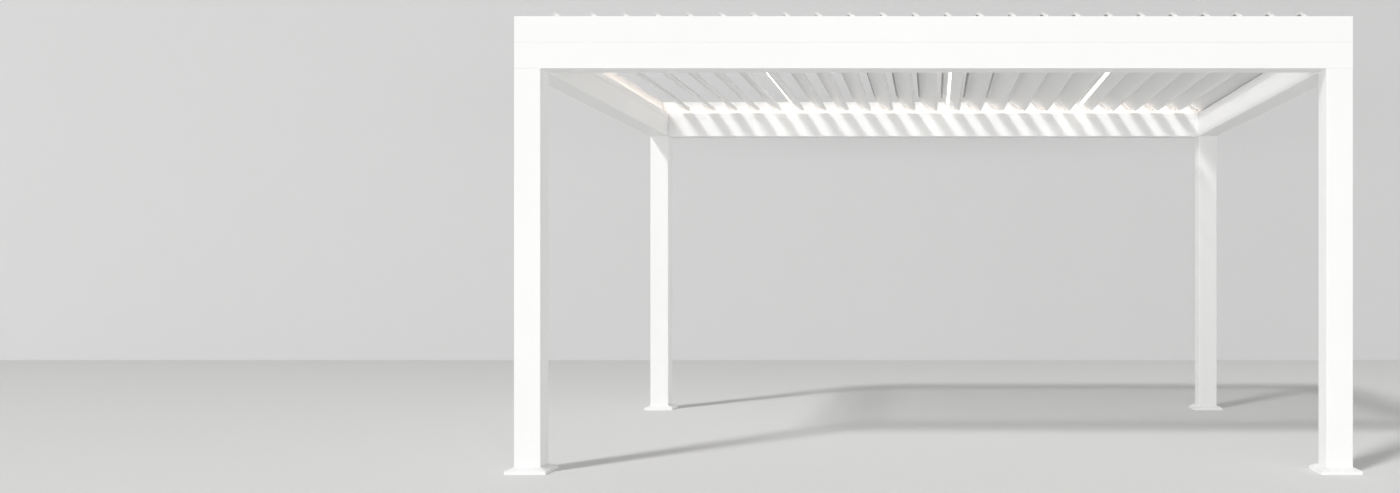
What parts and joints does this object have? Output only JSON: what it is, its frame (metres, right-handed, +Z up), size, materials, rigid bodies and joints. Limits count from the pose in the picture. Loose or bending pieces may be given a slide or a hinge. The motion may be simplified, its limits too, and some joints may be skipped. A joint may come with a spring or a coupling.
{
  "type": "louvred pergola",
  "caption": "Free-standing aluminium pergola with square posts, a gutter frame and a roof of tilting louvres with light strips.",
  "frame": {"origin": "centre of the footprint, on the ground", "axes": "+X along the width to the right seen from the front, +Y to the back along the louvres, +Z up"},
  "size_m": [4.834, 3.604, 2.6407],
  "materials": {
    "frame_coat": "white powder coat, fine texture",
    "louvre_coat": "white powder coat, fine texture",
    "foot_steel": "hot-dip galvanised",
    "bush_nylon": "moulded nylon",
    "rod_aluminium": "mill finish",
    "light_diffuser": "opal diffuser, lit warm white"
  },
  "bodies": {
    "root": {"base_plate_front_left": "foot_steel", "base_plate_front_right": "foot_steel", "base_plate_back_left": "foot_steel", "base_plate_back_right": "foot_steel", "foot_cover_front_left": "frame_coat", "foot_cover_front_right": "frame_coat", "foot_cover_back_left": "frame_coat", "foot_cover_back_right": "frame_coat", "post_front_left": "frame_coat", "post_front_right": "frame_coat", "post_back_left": "frame_coat", "post_back_right": "frame_coat", "beam_front": "frame_coat", "beam_right": "frame_coat", "beam_back": "frame_coat", "beam_left": "frame_coat", "roof_frame_front": "frame_coat", "roof_frame_right": "frame_coat", "roof_frame_back": "frame_coat", "roof_frame_left": "frame_coat", "gutter_front": "frame_coat", "gutter_right": "frame_coat", "gutter_back": "frame_coat", "gutter_left": "frame_coat", "drain_outlets": "bush_nylon", "pivot_bushes_front": "bush_nylon", "pivot_bushes_back": "bush_nylon", "perimeter_lights": "light_diffuser"},
    "louvre_01": {"louvre_01": "louvre_coat"},
    "louvre_02": {"louvre_02": "louvre_coat"},
    "louvre_03": {"louvre_03": "louvre_coat"},
    "louvre_04": {"louvre_04": "louvre_coat"},
    "louvre_05": {"louvre_05": "louvre_coat"},
    "louvre_06": {"louvre_06": "louvre_coat", "light_strip_left": "light_diffuser"},
    "louvre_07": {"louvre_07": "louvre_coat"},
    "louvre_08": {"louvre_08": "louvre_coat"},
    "louvre_09": {"louvre_09": "louvre_coat"},
    "louvre_10": {"louvre_10": "louvre_coat"},
    "louvre_11": {"louvre_11": "louvre_coat"},
    "louvre_12": {"louvre_12": "louvre_coat"},
    "louvre_13": {"louvre_13": "louvre_coat", "light_strip_middle": "light_diffuser"},
    "louvre_14": {"louvre_14": "louvre_coat"},
    "louvre_15": {"louvre_15": "louvre_coat"},
    "louvre_16": {"louvre_16": "louvre_coat"},
    "louvre_17": {"louvre_17": "louvre_coat"},
    "louvre_18": {"louvre_18": "louvre_coat"},
    "louvre_19": {"louvre_19": "louvre_coat", "light_strip_right": "light_diffuser"},
    "louvre_20": {"louvre_20": "louvre_coat"},
    "louvre_21": {"louvre_21": "louvre_coat"},
    "louvre_22": {"louvre_22": "louvre_coat"},
    "louvre_23": {"louvre_23": "louvre_coat"},
    "louvre_24": {"louvre_24": "louvre_coat"},
    "push_rod": {"push_rod": "rod_aluminium"}
  },
  "joints": [
    {"name": "louvre_01_tilt", "type": "hinge", "parent": "root", "child": "louvre_01", "pos_m": [-2.071, 0, 2.534], "axis": [0, 1, 0], "range_deg": [-38, 82]},
    {"name": "louvre_02_tilt", "type": "hinge", "parent": "root", "child": "louvre_02", "pos_m": [-1.85917, 0, 2.534], "axis": [0, 1, 0], "range_deg": [-38, 82]},
    {"name": "louvre_03_tilt", "type": "hinge", "parent": "root", "child": "louvre_03", "pos_m": [-1.67335, 0, 2.534], "axis": [0, 1, 0], "range_deg": [-38, 82]},
    {"name": "louvre_04_tilt", "type": "hinge", "parent": "root", "child": "louvre_04", "pos_m": [-1.48752, 0, 2.534], "axis": [0, 1, 0], "range_deg": [-38, 82]},
    {"name": "louvre_05_tilt", "type": "hinge", "parent": "root", "child": "louvre_05", "pos_m": [-1.3017, 0, 2.534], "axis": [0, 1, 0], "range_deg": [-38, 82]},
    {"name": "louvre_06_tilt", "type": "hinge", "parent": "root", "child": "louvre_06", "pos_m": [-1.11587, 0, 2.534], "axis": [0, 1, 0], "range_deg": [-38, 82]},
    {"name": "louvre_07_tilt", "type": "hinge", "parent": "root", "child": "louvre_07", "pos_m": [-0.93004, 0, 2.534], "axis": [0, 1, 0], "range_deg": [-38, 82]},
    {"name": "louvre_08_tilt", "type": "hinge", "parent": "root", "child": "louvre_08", "pos_m": [-0.74422, 0, 2.534], "axis": [0, 1, 0], "range_deg": [-38, 82]},
    {"name": "louvre_09_tilt", "type": "hinge", "parent": "root", "child": "louvre_09", "pos_m": [-0.55839, 0, 2.534], "axis": [0, 1, 0], "range_deg": [-38, 82]},
    {"name": "louvre_10_tilt", "type": "hinge", "parent": "root", "child": "louvre_10", "pos_m": [-0.37256, 0, 2.534], "axis": [0, 1, 0], "range_deg": [-38, 82]},
    {"name": "louvre_11_tilt", "type": "hinge", "parent": "root", "child": "louvre_11", "pos_m": [-0.18674, 0, 2.534], "axis": [0, 1, 0], "range_deg": [-38, 82]},
    {"name": "louvre_12_tilt", "type": "hinge", "parent": "root", "child": "louvre_12", "pos_m": [-0.00091, 0, 2.534], "axis": [0, 1, 0], "range_deg": [-38, 82]},
    {"name": "louvre_13_tilt", "type": "hinge", "parent": "root", "child": "louvre_13", "pos_m": [0.18491, 0, 2.534], "axis": [0, 1, 0], "range_deg": [-38, 82]},
    {"name": "louvre_14_tilt", "type": "hinge", "parent": "root", "child": "louvre_14", "pos_m": [0.37074, 0, 2.534], "axis": [0, 1, 0], "range_deg": [-38, 82]},
    {"name": "louvre_15_tilt", "type": "hinge", "parent": "root", "child": "louvre_15", "pos_m": [0.55656, 0, 2.534], "axis": [0, 1, 0], "range_deg": [-38, 82]},
    {"name": "louvre_16_tilt", "type": "hinge", "parent": "root", "child": "louvre_16", "pos_m": [0.74239, 0, 2.534], "axis": [0, 1, 0], "range_deg": [-38, 82]},
    {"name": "louvre_17_tilt", "type": "hinge", "parent": "root", "child": "louvre_17", "pos_m": [0.92822, 0, 2.534], "axis": [0, 1, 0], "range_deg": [-38, 82]},
    {"name": "louvre_18_tilt", "type": "hinge", "parent": "root", "child": "louvre_18", "pos_m": [1.11404, 0, 2.534], "axis": [0, 1, 0], "range_deg": [-38, 82]},
    {"name": "louvre_19_tilt", "type": "hinge", "parent": "root", "child": "louvre_19", "pos_m": [1.29987, 0, 2.534], "axis": [0, 1, 0], "range_deg": [-38, 82]},
    {"name": "louvre_20_tilt", "type": "hinge", "parent": "root", "child": "louvre_20", "pos_m": [1.4857, 0, 2.534], "axis": [0, 1, 0], "range_deg": [-38, 82]},
    {"name": "louvre_21_tilt", "type": "hinge", "parent": "root", "child": "louvre_21", "pos_m": [1.67152, 0, 2.534], "axis": [0, 1, 0], "range_deg": [-38, 82]},
    {"name": "louvre_22_tilt", "type": "hinge", "parent": "root", "child": "louvre_22", "pos_m": [1.85735, 0, 2.534], "axis": [0, 1, 0], "range_deg": [-38, 82]},
    {"name": "louvre_23_tilt", "type": "hinge", "parent": "root", "child": "louvre_23", "pos_m": [2.04317, 0, 2.534], "axis": [0, 1, 0], "range_deg": [-38, 82]},
    {"name": "louvre_24_tilt", "type": "hinge", "parent": "root", "child": "louvre_24", "pos_m": [2.229, 0, 2.534], "axis": [0, 1, 0], "range_deg": [-38, 82]},
    {"name": "push_rod_swing", "type": "hinge", "parent": "louvre_01", "child": "push_rod", "pos_m": [-2.08673, -1.654, 2.57294], "axis": [0, 1, 0], "range_deg": [-82, 38]}
  ],
  "couplings": [
    {"joint": "louvre_02_tilt", "follows": "louvre_01_tilt", "ratio": 1},
    {"joint": "louvre_03_tilt", "follows": "louvre_01_tilt", "ratio": 1},
    {"joint": "louvre_04_tilt", "follows": "louvre_01_tilt", "ratio": 1},
    {"joint": "louvre_05_tilt", "follows": "louvre_01_tilt", "ratio": 1},
    {"joint": "louvre_06_tilt", "follows": "louvre_01_tilt", "ratio": 1},
    {"joint": "louvre_07_tilt", "follows": "louvre_01_tilt", "ratio": 1},
    {"joint": "louvre_08_tilt", "follows": "louvre_01_tilt", "ratio": 1},
    {"joint": "louvre_09_tilt", "follows": "louvre_01_tilt", "ratio": 1},
    {"joint": "louvre_10_tilt", "follows": "louvre_01_tilt", "ratio": 1},
    {"joint": "louvre_11_tilt", "follows": "louvre_01_tilt", "ratio": 1},
    {"joint": "louvre_12_tilt", "follows": "louvre_01_tilt", "ratio": 1},
    {"joint": "louvre_13_tilt", "follows": "louvre_01_tilt", "ratio": 1},
    {"joint": "louvre_14_tilt", "follows": "louvre_01_tilt", "ratio": 1},
    {"joint": "louvre_15_tilt", "follows": "louvre_01_tilt", "ratio": 1},
    {"joint": "louvre_16_tilt", "follows": "louvre_01_tilt", "ratio": 1},
    {"joint": "louvre_17_tilt", "follows": "louvre_01_tilt", "ratio": 1},
    {"joint": "louvre_18_tilt", "follows": "louvre_01_tilt", "ratio": 1},
    {"joint": "louvre_19_tilt", "follows": "louvre_01_tilt", "ratio": 1},
    {"joint": "louvre_20_tilt", "follows": "louvre_01_tilt", "ratio": 1},
    {"joint": "louvre_21_tilt", "follows": "louvre_01_tilt", "ratio": 1},
    {"joint": "louvre_22_tilt", "follows": "louvre_01_tilt", "ratio": 1},
    {"joint": "louvre_23_tilt", "follows": "louvre_01_tilt", "ratio": 1},
    {"joint": "louvre_24_tilt", "follows": "louvre_01_tilt", "ratio": 1},
    {"joint": "push_rod_swing", "follows": "louvre_01_tilt", "ratio": -1}
  ]
}
